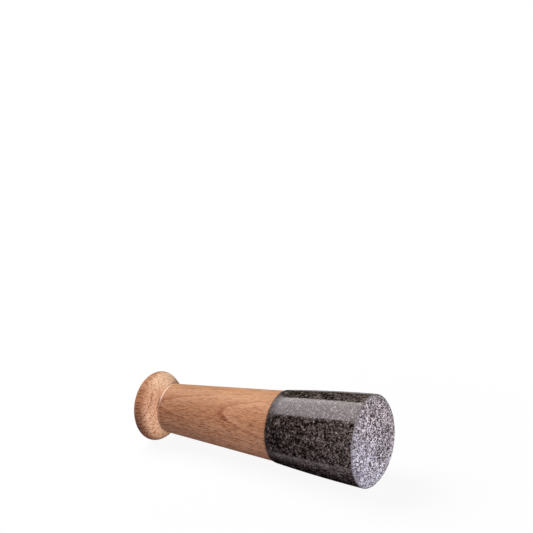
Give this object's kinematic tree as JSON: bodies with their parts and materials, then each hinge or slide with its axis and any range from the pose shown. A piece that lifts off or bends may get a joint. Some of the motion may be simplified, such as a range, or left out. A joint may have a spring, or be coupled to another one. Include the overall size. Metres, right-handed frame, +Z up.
{
  "type": "pestle",
  "caption": "Pestle with a tapered polished granite head, a rough crowned grinding face and a turned beech handle ending in a flattened knob, lying on its side.",
  "frame": {"origin": "on the floor, under the middle of the pestle's box as it lies on its side", "axes": "+X along the pestle from the knob to the head, +Z up; the axis of turning rises a little towards the head because the rim is wider than the knob"},
  "size_m": [0.162, 0.0526, 0.0525],
  "materials": {
    "beech": "satin",
    "granite": "polished",
    "epoxy": "gloss"
  },
  "bodies": {
    "root": {"beech_handle": "beech", "granite_head": "granite", "epoxy_bond": "epoxy"}
  },
  "joints": []
}
